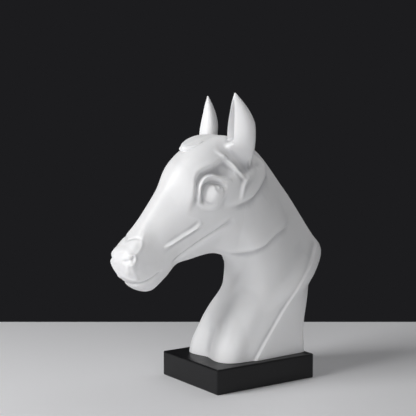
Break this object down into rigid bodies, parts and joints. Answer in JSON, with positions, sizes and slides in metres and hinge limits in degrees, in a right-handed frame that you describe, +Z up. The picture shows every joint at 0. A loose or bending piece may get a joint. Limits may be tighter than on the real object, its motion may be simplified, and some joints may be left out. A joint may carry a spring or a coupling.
{
  "type": "horse head ornament",
  "caption": "Horse head bust looking forward with pricked ears and a swept forelock, cast with its neck and standing on a rectangular plinth.",
  "frame": {"origin": "centre of the plinth's underside, where the ornament stands", "axes": "+Z up, the horse looks along -X, its left side is -Y"},
  "size_m": [0.2824, 0.1106, 0.3284],
  "materials": {
    "white_resin": "smooth matte white cast resin",
    "black_plinth": "black satin paint"
  },
  "bodies": {
    "root": {"horse_head": "white_resin", "plinth": "black_plinth"}
  },
  "joints": []
}
